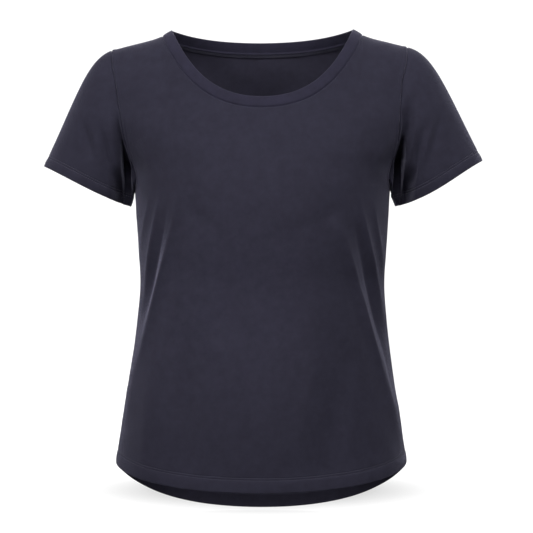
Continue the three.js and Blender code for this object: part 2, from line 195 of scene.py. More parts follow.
# Folds, seen from the front: each runs from (x, z) to (x, z), reaches so far to either side, and
# stands so high, or lies so deep if below zero. All fade out at both ends.
FOLDS = {
    # from x, from z, to x, to z, reach, height
    "front": (
        # from the right side of the bust down to the hip
        (-0.096, -0.188, -0.170, -0.474, 0.0048, 0.0054),
        (-0.127, -0.196, -0.162, -0.390, 0.0034, 0.0040),
        (-0.116, -0.208, -0.160, -0.405, 0.0054, -0.0058),
        (-0.142, -0.290, -0.166, -0.420, 0.0060, -0.0026),
        (-0.142, -0.205, -0.162, -0.310, 0.0030, 0.0018),
        (-0.158, -0.400, -0.176, -0.530, 0.0060, 0.0022),
        # from the left side of the bust down to the hip
        (0.119, -0.205, 0.165, -0.405, 0.0036, 0.0046),
        (0.140, -0.215, 0.159, -0.340, 0.0030, 0.0030),
        (0.0945, -0.240, 0.1715, -0.500, 0.0046, 0.0062),
        (0.079, -0.214, 0.124, -0.335, 0.0066, 0.0026),
        (0.146, -0.380, 0.184, -0.560, 0.0066, 0.0046),
        (0.111, -0.225, 0.172, -0.465, 0.0062, -0.0074),
        (0.096, -0.290, 0.140, -0.420, 0.0070, -0.0018),
        (0.154, -0.385, 0.174, -0.500, 0.0070, -0.0032),
        # slack hollows over the stomach and hips
        (-0.096, -0.340, -0.096, -0.640, 0.0190, -0.0070),
        (-0.140, -0.400, -0.152, -0.610, 0.0120, 0.0030),
        (0.104, -0.360, 0.084, -0.660, 0.0270, -0.0080),
        (0.020, -0.380, 0.012, -0.650, 0.0230, 0.0036),
        # below the bust
        (-0.112, -0.222, -0.042, -0.262, 0.0110, -0.0030),
        (0.110, -0.226, 0.044, -0.266, 0.0110, -0.0028),
        # short drags at the front of the armholes
        (-0.164, -0.140, -0.124, -0.210, 0.0070, 0.0016),
        (0.167, -0.130, 0.132, -0.202, 0.0070, 0.0018),
    ),
    "back": (
        (-0.104, -0.200, -0.160, -0.430, 0.0070, 0.0056),
        (-0.122, -0.225, -0.158, -0.392, 0.0080, -0.0056),
        (-0.128, -0.350, -0.178, -0.570, 0.0075, 0.0038),
        (0.108, -0.205, 0.166, -0.460, 0.0065, 0.0058),
        (0.125, -0.230, 0.160, -0.402, 0.0085, -0.0056),
        (0.136, -0.400, 0.176, -0.600, 0.0080, 0.0034),
        # across the small of the back
        (-0.084, -0.290, 0.076, -0.326, 0.0110, -0.0040),
        (-0.070, -0.330, 0.092, -0.350, 0.0080, 0.0024),
        (-0.106, -0.350, 0.036, -0.372, 0.0100, -0.0028),
        # slack hollows over the seat
        (-0.070, -0.380, -0.088, -0.660, 0.0180, -0.0046),
        (0.042, -0.370, 0.070, -0.670, 0.0200, -0.0044),
        (0.108, -0.400, 0.124, -0.640, 0.0130, 0.0028),
        (-0.008, -0.410, -0.016, -0.680, 0.0160, 0.0026),
        # from the armholes towards the spine
        (-0.164, -0.140, -0.062, -0.204, 0.0080, 0.0024),
        (0.166, -0.132, 0.068, -0.214, 0.0080, 0.0026),
    ),
}
CREST_ROUNDING = 0.4
FOLD_CLEAR_OF_SEAM = 0.014
FOLD_CLEAR_OF_NECK = 0.012

# Slack jersey is never quite smooth: low waves of many lengths, in chance directions.
RIPPLE_COUNT = 28
RIPPLE_LENGTHS = (0.016, 0.060)
RIPPLE_SLOPE = 0.0090

# A seam pulls both cloths in to a ditch. Its allowance, pressed to one side, lifts the cloth over it.
DITCH_DEPTH = 0.0011
DITCH_REACH = 0.0009
ALLOWANCE_WIDTH = 0.0056
ALLOWANCE_LIFT = 0.0005
ALLOWANCE_EDGE = 0.0006

# How finely the panels are divided. Columns and rows crowd together at the seams, over a length of
# cloth outside the neck points and one above the underarm.
FINEST_STEP = 0.0004
STEP_GROWTH = 1.35
LARGEST_COLUMN = 0.0021
LARGEST_ROW = 0.0023
NECK_COLUMNS = 30
OUTER_LENGTH = 0.130
ROWS_BELOW_ARM = 110
UPPER_LENGTH = 0.200
ROW_CROWDING = 0.7

# Rows of a hem: round its folded edge, up to its stitches, and beside each line of stitches.
FOLD_TURNS = np.radians([6, 22, 40, 60, 80])
UP_HEM = (0.0016, 0.0027, 0.0045, 0.0070, 0.0100, 0.0128)
BESIDE_STITCHES = (-0.0010, -0.0004, 0, 0.0004, 0.0010)


def steps_from_edge(length, largest):
    """Places from 0 to length, close together at 0 and growing apart to the largest step."""
    count = int(2 * length / largest) + 8
    steps = np.minimum(FINEST_STEP * STEP_GROWTH ** np.arange(count), largest)
    places = np.concatenate([[0], np.cumsum(steps)])
    places = places[: np.searchsorted(places, length) + 1]
    return places * length / places[-1]


def column_x(u, z):
    """x of column u, -1 to 1 between the side seams: width sin(90 degrees u), less the armhole's inset,
    whose foot is a quarter of an ellipse, taller in the columns further in."""
    reach = ARMHOLE_BOTTOM_HEIGHT * (1 + ARMHOLE_BOTTOM_SPREAD * (1 - np.abs(u)))
    above = np.clip((z - UNDERARM_LEVEL) / reach, 0, 1)
    foot = np.sqrt(1 - (1 - above) ** 2)
    left = curve_through(ARMHOLE_LEVEL, INSET_LEFT, z)
    right = curve_through(ARMHOLE_LEVEL, INSET_RIGHT, z)
    inset = np.where(u > 0, left, right) * foot * np.abs(u) ** COLUMN_CROWDING
    return np.sign(u) * half_width(z) * np.sin(np.radians(90 * np.abs(u) - inset))


def bezier(points, t):
    """The cubic Bezier of four points at t."""
    a, b, c, d = points
    return a * (1 - t) ** 3 + 3 * b * t * (1 - t) ** 2 + 3 * c * t * t * (1 - t) + d * t**3


def neck_height(x, half):
    """Height of the neck seam: a Bezier from the neck point, level at the middle of the shirt."""
    _, _, _, pull, level_pull = HALVES[half]
    t = crossing(
        lambda share: np.abs(x) - bezier((NECK_POINT_X, pull[0], level_pull[0], 0), share),
        np.zeros_like(x), np.ones_like(x))
    start = shoulder_height(np.array(NECK_POINT_X))
    return bezier((start, pull[1], level_pull[1], level_pull[1]), t)


def column_top(u, half):
    """Height at which column u meets the neck seam or, further out, the shoulder seam."""
    def past_top(z):
        x = column_x(u, z)
        return z - np.where(np.abs(x) < NECK_POINT_X, neck_height(x, half), shoulder_height(x))

    return crossing(past_top, np.full_like(u, UNDERARM_LEVEL), np.full_like(u, NECK_RISE))


def panel_columns(half):
    """Columns from seam to seam, one of them at each neck point, and the places of those two."""
    halves = []
    for side in (-1, 1):
        neck = crossing(
            lambda u: np.abs(column_x(side * u, column_top(side * u, half))) - NECK_POINT_X,
            np.array([0.1]), np.array([0.9]))[0]
        inner = neck * np.sin(np.linspace(0, np.pi / 2, NECK_COLUMNS + 1))
        outer = 1 - (1 - neck) * steps_from_edge(OUTER_LENGTH, LARGEST_COLUMN)[::-1] / OUTER_LENGTH
        halves.append(side * np.concatenate([inner[1:], outer[1:]]))
    right, left = halves
    columns = np.concatenate([right[::-1], [0], left])
    return columns, (len(right) - NECK_COLUMNS, len(right) + NECK_COLUMNS)


def hem_places(thickness, depth, needles):
    """Distances up a hem: round its folded edge, evenly between, and close together at its stitches."""
    lines = np.add.outer(needles + (depth,), BESIDE_STITCHES).ravel()
    folded = thickness / 2 * (1 - np.cos(FOLD_TURNS))
    return np.unique(np.concatenate([folded, UP_HEM, lines]).round(7))


def panel_heights(u, half):
    """Heights of each column's points: fixed distances up the hem, even rows to the underarm, then
    rows along the roll of the shoulder, close together again at the top."""
    sign, depth, tail, _, _ = HALVES[half]
    angle = u * np.pi / 2
    hem = HEM_SIDE_LEVEL - tail * np.cos(angle) * (1 - HEM_EASE * np.sin(angle) ** 6)
    edge, _ = on_form(column_x(u, hem), hem, depth, sign)
    along = np.gradient(edge, axis=0)
    stretch = np.linalg.norm(along, axis=1) / np.hypot(along[:, 0], along[:, 1])
    hem_rows = hem + hem_places(HEM_THICKNESS, HEM_DEPTH, HEM_NEEDLES)[:, None] * stretch
    share = np.linspace(0, 1, ROWS_BELOW_ARM + 1)[1:, None]
    below_rows = hem_rows[-1] + (UNDERARM_LEVEL - hem_rows[-1]) * share
    top = column_top(u, half)
    roll = shoulder_height(column_x(u, top)) - CHEST_LEVEL
    top_arc = roll * np.arcsin(np.minimum(1, (top - CHEST_LEVEL) / roll))
    share = 1 - steps_from_edge(UPPER_LENGTH, LARGEST_ROW)[::-1][1:, None] / UPPER_LENGTH
    start = UNDERARM_LEVEL - CHEST_LEVEL
    arc = start + (top_arc - start) * share ** (1 + ROW_CROWDING * np.abs(u) ** 3)
    above_rows = CHEST_LEVEL + np.where(arc < 0, arc, roll * np.sin(arc / roll))
    above_rows[-1] = top
    heights = np.concatenate([hem_rows, below_rows, above_rows])
    return heights, len(hem_rows) + len(below_rows) - 1


def beside_line(x, z, x1, z1, x2, z2):
    """The share of the way from (x1, z1) to (x2, z2) at which each (x, z) lies, and how far aside."""
    along_x, along_z = x2 - x1, z2 - z1
    length = math.hypot(along_x, along_z)
    share = ((x - x1) * along_x + (z - z1) * along_z) / length**2
    return share, ((x - x1) * along_z - (z - z1) * along_x) / length


def fold_height(folds, x, z):
    """Sum of soft ridges, each 16 s^2 (1 - s)^2 high at share s along it. Aside, in reaches, it falls
    as exp(c - sqrt(aside^2 + c^2)), which rounds the crest by c."""
    height = np.zeros_like(x)
    for *ends, reach, stands in folds:
        share, aside = beside_line(x, z, *ends)
        crest = np.exp(CREST_ROUNDING - np.sqrt((aside / reach) ** 2 + CREST_ROUNDING**2))
        height += stands * np.maximum(0, 4 * share * (1 - share)) ** 2 * crest
    return height


def soft_ripples(a, b, seed):
    """Sum of seeded sine waves over two coordinates in metres, each as high as it is long times one
    small slope."""
    chance = np.random.default_rng(seed)
    height = np.zeros_like(a)
    for _ in range(RIPPLE_COUNT):
        length = chance.uniform(*RIPPLE_LENGTHS)
        turn, start = chance.uniform(0, 2 * np.pi, 2)
        wave = (a * math.cos(turn) + b * math.sin(turn)) * 2 * np.pi / length
        height += length * RIPPLE_SLOPE / math.sqrt(RIPPLE_COUNT) * np.sin(wave + start)
    return height


def lengths_along(points, axis=0):
    """Length along a line of points, or along each line of a grid, at every point."""
    steps = np.diff(points, axis=axis, prepend=np.take(points, [0], axis))
    return np.cumsum(np.linalg.norm(steps, axis=-1), axis=axis)


def distance_to_line(points, line):
    """Distance from each point to the nearest place on a line of straight steps."""
    flat = points.reshape(-1, 3)
    start, step = line[:-1], np.diff(line, axis=0)
    towards = flat @ step.T - (start * step).sum(1)
    length = (step * step).sum(1)
    share = np.clip(towards / length, 0, 1)
    away = (flat * flat).sum(1)[:, None] + (start * start).sum(1) - 2 * flat @ start.T
    squared = away - 2 * share * towards + share * share * length
    return np.sqrt(np.maximum(0, squared.min(1))).reshape(points.shape[:-1])


def ditch(distance):
    """The cloth's dip at a seam: depth exp(-(distance / reach)^2)."""
    return -DITCH_DEPTH * np.exp(-((distance / DITCH_REACH) ** 2))


def allowance_lift(distance):
    """A low step over the seam allowance, from the ditch to the allowance's edge."""
    edge = smooth_step(distance, ALLOWANCE_WIDTH - ALLOWANCE_EDGE, ALLOWANCE_WIDTH + ALLOWANCE_EDGE)
    return ALLOWANCE_LIFT * smooth_step(distance, ALLOWANCE_EDGE, 2 * DITCH_REACH) * (1 - edge)


def draw_in(distance, thickness):
    """How far each face draws in near a folded edge, which is half a circle round the thickness."""
    share = np.minimum(1, distance / (thickness / 2))
    return thickness / 2 * (1 - np.sqrt(1 - (1 - share) ** 2))


def hemmed_faces(points, normals, relief, distance, hem_depth, needles):
    """Outer and inner points of cloth whose hem is folded up inside, at this distance from the fold.
    The doubled part is puffed a little, and each line of stitches pulls the cloth in."""
    double = 1 - smooth_step(distance, hem_depth - RAW_EDGE, hem_depth + RAW_EDGE)
    thickness = JERSEY_THICKNESS + (HEM_THICKNESS - JERSEY_THICKNESS) * double
    closing = draw_in(distance, HEM_THICKNESS)
    puff = HEM_PUFF * np.sin(np.pi * np.clip(distance / needles[0], 0, 1))
    grooves = sum(np.exp(-(((distance - line) / GROOVE_REACH) ** 2)) for line in needles)
    outer = relief + puff - GROOVE_DEPTH * grooves - closing
    inner = relief + puff - REVERSE_GROOVE_DEPTH * grooves - thickness + closing
    return points + normals * outer[..., None], points + normals * inner[..., None]


def build_panel(half, seed):
    """A panel's grids of outer and inner points, its flat coordinates, and its marks."""
    sign, depth, _, _, _ = HALVES[half]
    u, neck_columns = panel_columns(half)
    heights, underarm = panel_heights(u, half)
    points, normals = on_form(column_x(u, heights), heights, depth, sign)
    x, y, z = np.moveaxis(points, -1, 0)
    left, right = neck_columns
    to_neck = distance_to_line(points, points[-1, left : right + 1])
    clear = np.minimum(1, np.abs(y) / FOLD_CLEAR_OF_SEAM) * smooth_step(to_neck, 0, FOLD_CLEAR_OF_NECK)
    relief = (fold_height(FOLDS[half], x, z) + soft_ripples(x, z, seed)) * clear + ditch(to_neck)
    for column, shoulder in ((0, slice(0, left + 1)), (-1, slice(right, None))):
        to_armhole = distance_to_line(points, points[underarm:, column])
        to_side = distance_to_line(points, points[: underarm + 1, column])
        to_shoulder = distance_to_line(points, points[-1, shoulder])
        relief += ditch(np.minimum(np.minimum(to_armhole, to_side), to_shoulder))
        relief += allowance_lift(to_armhole)
        if half == "back":
            relief += allowance_lift(np.minimum(to_side, to_shoulder)) / 2
    to_fold = distance_to_line(points, points[0])
    outer, inner = hemmed_faces(points, normals, relief, to_fold, HEM_DEPTH, HEM_NEEDLES)
    across = lengths_along(points, axis=1)
    across -= across[:, [len(u) // 2]]
    up = lengths_along(points)
    return {
        "points": points,
        "normals": normals,
        "relief": relief,
        "outer": outer,
        "inner": inner,
        "flat": np.stack([across, up - up[underarm]], axis=-1),
        "neck": slice(left, right + 1),
        "underarm": underarm,
    }


def quads(ids):
    """The four corners of each cell of a grid of numbers, as rows."""
    return np.stack([ids[:-1, :-1], ids[:-1, 1:], ids[1:, 1:], ids[1:, :-1]], axis=-1).reshape(-1, 4)


def add_object(name, data):
    """A new object of this mesh, lamp or camera, in the scene."""
    made = bpy.data.objects.new(name, data)
    bpy.context.scene.collection.objects.link(made)
    return made


def add_mesh(name, points, faces, corners=None, slots=None):
    """A new object at the origin with these points, set askew as the shirt sits, and these faces,
    turned to point outwards, with flat coordinates and a material slot for each."""
    mesh = bpy.data.meshes.new(name)
    points = sit_askew(points)
    a, b, c, d = (points[faces[:, i]] for i in range(4))
    if (np.cross(c - a, d - b) * (a + b + c + d)).sum() < 0:
        faces = faces[:, ::-1]
        corners = None if corners is None else corners[:, ::-1]
    mesh.from_pydata(points.tolist(), [], faces.tolist())
    if corners is not None:
        mesh.uv_layers.new(name="cloth").data.foreach_set("uv", corners.astype(np.float32).ravel())
    if slots is not None:
        mesh.polygons.foreach_set("material_index", slots.astype(np.int32))
    mesh.polygons.foreach_set("use_smooth", np.ones(len(faces), bool))
    mesh.set_sharp_from_angle(angle=math.radians(60))
    return add_object(name, mesh)


def add_cloth(name, outer, inner, flat, face, reverse, is_ring=False):
    """A closed sheet of cloth between two grids of points: both faces and the rims that join them,
    with materials for face and reverse. A ring's last column joins its first, and its flat
    coordinates have one column more."""
    rows, columns = outer.shape[:2]
    outer_ids = np.arange(rows * columns).reshape(rows, columns)
    if is_ring:
        outer_ids = np.column_stack([outer_ids, outer_ids[:, 0]])
    inner_ids = outer_ids + rows * columns
    grids = [
        (outer_ids, flat),
        (inner_ids[::-1], flat[::-1]),
        (np.stack([inner_ids[0], outer_ids[0]]), flat[[0, 0]]),
        (np.stack([outer_ids[-1], inner_ids[-1]]), flat[[-1, -1]]),
    ]
    if not is_ring:
        grids += [
            (np.stack([inner_ids[:, 0], outer_ids[:, 0]], axis=1), flat[:, [0, 0]]),
            (np.stack([outer_ids[:, -1], inner_ids[:, -1]], axis=1), flat[:, [-1, -1]]),
        ]
    faces = np.concatenate([quads(ids) for ids, _ in grids])
    corners = np.concatenate([
        np.stack([quads(place[..., k]) for k in range(2)], axis=-1) for _, place in grids])
    slots = np.concatenate([
        np.full((ids.shape[0] - 1) * (ids.shape[1] - 1), int(k == 1)) for k, (ids, _) in enumerate(grids)])
    points = np.concatenate([outer.reshape(-1, 3), inner.reshape(-1, 3)])
    piece = add_mesh(name, points, faces, corners, slots)
    piece.data.materials.append(face)
    piece.data.materials.append(reverse)
    return piece


def linear(colour):
    """The linear red, green, blue and alpha of an sRGB hex colour."""
    parts = [int(colour[i : i + 2], 16) / 255 for i in (1, 3, 5)]
    return [p / 12.92 if p <= 0.04045 else ((p + 0.055) / 1.055) ** 2.4 for p in parts] + [1]


def add_node(tree, kind, inputs=(), **settings):
    """Adds a shader node with its settings. Each input is given a constant, or another's output."""
    node = tree.nodes.new("ShaderNode" + kind)
    for name, value in settings.items():
        setattr(node, name, value)
    for socket, value in dict(inputs).items():
        if isinstance(value, bpy.types.NodeSocket):
            tree.links.new(value, node.inputs[socket])
        else:
            node.inputs[socket].default_value = value
    return node


def start_material(name, values):
    """A new material, its node tree, and its shader with these constants set on its sockets."""
    material = bpy.data.materials.new(name)
    material.use_nodes = True
    shader = material.node_tree.nodes["Principled BSDF"]
    for socket, value in values.items():
        shader.inputs[socket].default_value = value
    return material, material.node_tree, shader


# Dyed cotton jersey, knitted: the face shows columns of narrow V-shaped loops, the reverse rows of
# small arcs. The yarn is matt, with a short nap that glows where the cloth turns away.
WALE = 0.0011  # Real loops stand 0.7 mm apart, drawn coarser so that they show from near.
COURSE = 0.0009
LOOP_HEIGHT = 0.00010
JERSEY_SHADES = ("#2b2937", "#31303f")
# The reverse is drawn lighter than the face: partly the duller look of the reverse of dyed jersey, partly
# painted light that brightens the inside of the shirt, where little of the lamps' light reaches.
REVERSE_SHADES_PAINTED_LIGHTER = ("#3a3847", "#413f50")
MOTTLE_SIZE = 0.011
FIBRE_SIZE = 0.0016


def knit_material(name, shades, lean, ridge, arc):
    """Loops in columns. Height is ridge (1 - 16 (|w| - 1/4)^2) + arc cos(course), with w the place
    across a wale from -1/2 to 1/2, and each course leans up by lean |w| on both sides of it."""
    material, tree, shader = start_material(name, {
        "Roughness": 0.9, "Specular IOR Level": 0.2, "Sheen Weight": 0.5, "Sheen Roughness": 0.35,
        "Sheen Tint": linear("#aeacc6")})
    flat = add_node(tree, "UVMap", uv_map="cloth")
    parts = add_node(tree, "SeparateXYZ", {0: flat.outputs[0]})
    wales = add_node(tree, "Math", {0: parts.outputs[0], 1: 1 / WALE}, operation="MULTIPLY")
    place = add_node(tree, "Math", {0: wales.outputs[0]}, operation="FRACT")
    side = add_node(tree, "Math", {0: place.outputs[0], 1: 0.5}, operation="SUBTRACT")
    width = add_node(tree, "Math", {0: side.outputs[0]}, operation="ABSOLUTE")
    courses = add_node(tree, "Math", {0: parts.outputs[1], 1: 1 / COURSE}, operation="MULTIPLY")
    leant = add_node(tree, "Math", {0: width.outputs[0], 1: lean, 2: courses.outputs[0]},
                     operation="MULTIPLY_ADD")
    turn = add_node(tree, "Math", {0: leant.outputs[0], 1: 2 * math.pi}, operation="MULTIPLY")
    wave = add_node(tree, "Math", {0: turn.outputs[0]}, operation="COSINE")
    leg = add_node(tree, "Math", {0: width.outputs[0], 1: 4.0, 2: -1.0}, operation="MULTIPLY_ADD")
    dip = add_node(tree, "Math", {0: leg.outputs[0], 1: leg.outputs[0]}, operation="MULTIPLY")
    rows = add_node(tree, "Math", {0: wave.outputs[0], 1: arc, 2: ridge}, operation="MULTIPLY_ADD")
    loops = add_node(tree, "Math", {0: dip.outputs[0], 1: -ridge, 2: rows.outputs[0]},
                     operation="MULTIPLY_ADD")

    spot = add_node(tree, "TexCoord").outputs["Object"]
    mottle = add_node(tree, "TexNoise",
                      {"Vector": spot, "Scale": 1 / MOTTLE_SIZE, "Detail": 6.0, "Roughness": 0.66})
    fibre = add_node(tree, "TexNoise", {"Vector": spot, "Scale": 1 / FIBRE_SIZE, "Detail": 2.0})
    spread = add_node(tree, "MapRange", {
        "Value": mottle.outputs[0], "From Min": 0.3, "From Max": 0.7, "To Min": -0.15, "To Max": 0.85})
    blend = add_node(tree, "Math", {0: fibre.outputs[0], 1: 0.3, 2: spread.outputs[0]},
                     operation="MULTIPLY_ADD", use_clamp=True)
    shade = add_node(tree, "Mix", {
        "Factor": blend.outputs[0], "A": linear(shades[0]), "B": linear(shades[1])}, data_type="RGBA")
    fuzz = add_node(tree, "Math", {0: fibre.outputs[0], 1: 0.8, 2: loops.outputs[0]},
                    operation="MULTIPLY_ADD")
    bump = add_node(tree, "Bump", {
        "Strength": 1.0, "Distance": LOOP_HEIGHT, "Height": fuzz.outputs[0]})
    tree.links.new(shade.outputs["Result"], shader.inputs["Base Color"])
    tree.links.new(bump.outputs[0], shader.inputs["Normal"])
    return material


jersey_face = knit_material("jersey, dyed cotton single knit, face", JERSEY_SHADES, 1.3, 0.7, 0.3)
jersey_reverse = knit_material("jersey, dyed cotton single knit, reverse, painted lighter", REVERSE_SHADES_PAINTED_LIGHTER, 0.5, 0.2, 0.6)

# Laid flat, how wide and long each panel shows and its area, and the seed of its ripples.
PANEL_CUTS = {"front": ((0.47, 0.585), 0.233, 11), "back": ((0.47, 0.626), 0.256, 12)}
panels = {}
pieces = {}
for half, (cut, cut_area, seed) in PANEL_CUTS.items():
    panel = build_panel(half, seed)
    panels[half] = panel
    piece = add_cloth(
        half + "_panel", panel["outer"], panel["inner"], panel["flat"], jersey_face, jersey_reverse)
    pieces[half] = piece
    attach(piece, "root")
    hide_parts(half)

# ---- Neckband ----
# A strip of the same jersey cut across the cloth, folded in half along its length and overlocked to
# the neck edge by its raw edges. It is a little shorter than the edge, so that it lies in close.
BAND_WIDTH = 0.0145
BAND_THICKNESS = 0.0017
BAND_PROUD = 0.00025
BAND_CROWN = 0.00045
BAND_STAND = 0.12
BAND_TUCK = 0.0004
BAND_SHADES = ("#2b2938", "#323042")


def join_runs(front, back):
    """One loop from a front run and a back run that meet at both ends, midway between the two."""
    back = back[::-1]
    start, turn = (front[:1] + back[-1:]) / 2, (front[-1:] + back[:1]) / 2
    return np.concatenate([start, front[1:-1], turn, back[1:-1]])


def across_loop(points, normals, turn):
    """Unit directions across a closed seam: the direction along it crossed with the normal."""
    along = np.roll(points, -1, 0) - np.roll(points, 1, 0)
    return unit(np.cross(along, normals)) * turn


def close_round(points):
    """A closed line's points, and its first once more."""
    return np.concatenate([points, points[:1]])


neck_line, neck_normals = (
    join_runs(*[panels[half][key][-1, panels[half]["neck"]] for half in ("front", "back")])
    for key in ("points", "normals"))
neck_normals = unit(neck_normals)
neck_across = across_loop(neck_line, neck_normals, -1)

seam_side = np.array([-BAND_TUCK, 0.0003, 0.0009, 0.0016, 0.0025, 0.0040])
fold_side = np.concatenate([BAND_THICKNESS / 2 * (1 - np.cos(FOLD_TURNS)), [0.0015, 0.0025, 0.0040]])
middle_rows = np.linspace(seam_side[-1], BAND_WIDTH - fold_side[-1], 5)[1:-1]
up_band = np.concatenate([seam_side, middle_rows, BAND_WIDTH - fold_side[::-1]])
closing = draw_in(BAND_WIDTH - up_band, BAND_THICKNESS)
crown = BAND_CROWN * np.sin(np.pi * np.clip(up_band / BAND_WIDTH, 0, 1))
rise = BAND_PROUD + BAND_STAND * up_band + ditch(up_band)
band_flat = np.stack(np.meshgrid(lengths_along(close_round(neck_line)), up_band), axis=-1)


def band_face(out):
    """The neck seam's points carried across by each row's place, and out by its height."""
    return neck_line + up_band[:, None, None] * neck_across + out[:, None, None] * neck_normals


band_jersey = knit_material("jersey, dyed cotton single knit, folded band", BAND_SHADES, 1.3, 0.7, 0.3)
neckband = add_cloth(
    "neckband_strip", band_face(rise + crown - closing), band_face(rise - crown - BAND_THICKNESS + closing),
    band_flat, band_jersey, band_jersey, is_ring=True)
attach(neckband, "root")
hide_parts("neckband")

# ---- Sleeves ----
# Each is one cut of the same jersey, eased into its armhole and hanging to the middle of the upper
# arm. Under the arm the spare cloth falls into deep folds. The cuff is hemmed as the tail is.
CUFF_HALF_DEPTH = 0.052
CUFF_DEPTH = 0.0165
CUFF_NEEDLES = (0.0120, 0.0149)
HEAD_UNDER_RUN = np.array([0.45, 0, -0.89])
HEAD_FULLNESS = 0.4
HEAD_PULL = 0.2
CUFF_PULL = 0.6
SEAM_TURN = 0.005
SLEEVES = {
    # side, fall of the top line in degrees, sag of the cuff, top and under ends of the cuff (x, z)
    "sleeve_left": (1, 13, 0.0048, (0.286, -0.1695), (0.173, -0.2275)),
    "sleeve_right": (-1, 21, 0.0022, (0.284, -0.174), (0.1715, -0.227)),
}

# Folds of each sleeve's front, and then of its back, with the same columns as the panels' folds.
SLEEVE_FOLDS = {
    "sleeve_left": (
        (
            (0.221, -0.112, 0.1985, -0.192, 0.0042, 0.0032),
            (0.208, -0.118, 0.189, -0.212, 0.0056, -0.0066),
            (0.234, -0.095, 0.209, -0.186, 0.0060, -0.0028),
            (0.252, -0.106, 0.238, -0.196, 0.0100, -0.0016),
            (0.192, -0.056, 0.206, -0.118, 0.0090, -0.0016),
        ),
        (
            (0.216, -0.108, 0.192, -0.208, 0.0070, 0.0036),
            (0.202, -0.112, 0.186, -0.210, 0.0070, -0.0052),
            (0.242, -0.106, 0.224, -0.202, 0.0090, -0.0034),
        ),
    ),
    "sleeve_right": (
        (
            (-0.210, -0.118, -0.188, -0.200, 0.0056, -0.0066),
            (-0.202, -0.124, -0.185, -0.198, 0.0040, 0.0014),
            (-0.230, -0.112, -0.215, -0.174, 0.0050, -0.0040),
            (-0.224, -0.112, -0.202, -0.190, 0.0050, 0.0018),
            (-0.250, -0.124, -0.240, -0.198, 0.0090, -0.0016),
            (-0.196, -0.060, -0.202, -0.116, 0.0090, -0.0018),
        ),
        (
            (-0.218, -0.106, -0.190, -0.206, 0.0070, 0.0034),
            (-0.204, -0.114, -0.187, -0.208, 0.0075, -0.0050),
            (-0.246, -0.114, -0.230, -0.204, 0.0085, -0.0030),
        ),
    ),
}

# Tucks under the arm: each deepens over the first half of its way from (x, z) to (x, z), is level
# over a share of its reach to either side, and draws the cloth in by a share of its distance from the
# sleeve's tucked plane, or lets it out if below zero. The front's come first, then the back's.
TUCKED_TO = {"sleeve_left": 0.0060, "sleeve_right": 0.0010}
TUCK_CLEAR = 0.0016
DEEPEST_TUCK = 0.92
TUCKS = {
    # from x, from z, to x, to z, reach, level share, drawn share
    "sleeve_left": (
        (
            (0.190, -0.085, 0.174, -0.190, 0.0130, 0.00, 0.22),
            (0.177, -0.136, 0.1735, -0.212, 0.0074, 0.46, 0.82),
            (0.185, -0.170, 0.181, -0.290, 0.0140, 0.00, 0.85),
            (0.170, -0.144, 0.1652, -0.204, 0.0024, 0.00, -0.35),
        ),
        (
            (0.190, -0.085, 0.174, -0.190, 0.0130, 0.00, 0.22),
            (0.179, -0.142, 0.175, -0.212, 0.0080, 0.40, 0.68),
        ),
    ),
    "sleeve_right": (
        (
            (-0.188, -0.090, -0.173, -0.190, 0.0120, 0.00, 0.16),
            (-0.1755, -0.140, -0.1738, -0.212, 0.0070, 0.48, 0.88),
            (-0.184, -0.172, -0.180, -0.290, 0.0140, 0.00, 0.90),
            (-0.1702, -0.146, -0.1654, -0.204, 0.0024, 0.00, -0.35),
        ),
        (
            (-0.188, -0.090, -0.174, -0.190, 0.0120, 0.00, 0.20),
            (-0.178, -0.144, -0.1745, -0.212, 0.0080, 0.40, 0.68),
        ),
    ),
}

# Where folds and tucks set in: round the sleeve, as the sine of the angle from its top line, and below
# the armhole seam. The panels' relief at that seam fades out in the sleeve.
TUCKED_ROUND, TUCKED_BELOW_SEAM = (0.02, 0.22), (0.0004, 0.0045)
PLANE_LEVEL_AT = 0.4
FOLDED_ROUND, FOLDED_BELOW_SEAM = 0.35, (0.001, 0.022)
SEAM_RELIEF_REACH = 0.015

# Rows at the seam and between it and the cuff, rows by which a column's length is measured, and how
# many of the seam's lowest steps are split in three.
NEAR_SEAM = np.array([0, 0.0004, 0.0009, 0.0015, 0.0023, 0.0034, 0.0048])
SLEEVE_ROWS = 58
FINE_ROWS = 121
UNDERARM_STEPS = 44


def sleeve_form(side, cap_fall, sag, top, under, start, share):
    """Points at each share of the columns from the armhole seam to the cuff, and each column's angle
    round the sleeve, 0 at its top line and above 0 in front. A column is a cubic Bezier that leaves
    the seam its own way and reaches the cuff along the arm."""
    turn = len(start) // 2
    lengths = lengths_along(close_round(start))
    front = 180 * (1 - lengths[: turn + 1] / lengths[turn])
    back = -180 * (lengths[turn + 1 : -1] - lengths[turn]) / (lengths[-1] - lengths[turn])
    degrees = np.concatenate([front, back])
    angle = np.radians(degrees)[:, None]
    fall = math.radians(cap_fall)
    upper = (1 + np.cos(angle)) / 2
    leave = upper * [math.cos(fall), 0, -math.sin(fall)] + (1 - upper) * HEAD_UNDER_RUN
    leave = unit(leave * [side, 1, 1] - HEAD_FULLNESS * np.sin(angle) * [0, 1, 0])
    top, under = (np.array([side * x, 0, z]) for x, z in (top, under))
    centre, half_line = (top + under) / 2, (top - under) / 2
    arm = -unit(np.array([-side * half_line[2], 0, side * half_line[0]]))
    end = centre + half_line * np.cos(angle) - CUFF_HALF_DEPTH * np.sin(angle) * [0, 1, 0]
    end = end + arm * sag * np.sin(angle) ** 2 * (1 - np.cos(angle))
    length = np.linalg.norm(end - start, axis=1, keepdims=True)
    pulls = (start, start + leave * HEAD_PULL * length, end - arm * CUFF_PULL * length, end)
    return bezier(pulls, share), degrees


def tuck_share(tucks, x, z):
    """How far the cloth is drawn in: each tuck's share times a smooth step along it, and aside 1 on its
    level floor, falling in an S to 0 at its reach."""
    drawn = np.zeros_like(x)
    for *ends, reach, level, share in tucks:
        place, aside = beside_line(x, z, *ends)
        drawn += share * smooth_step(place, 0, 0.5) * (1 - smooth_step(np.abs(aside) / reach, level, 1))
    return np.clip(drawn, 0, DEEPEST_TUCK)


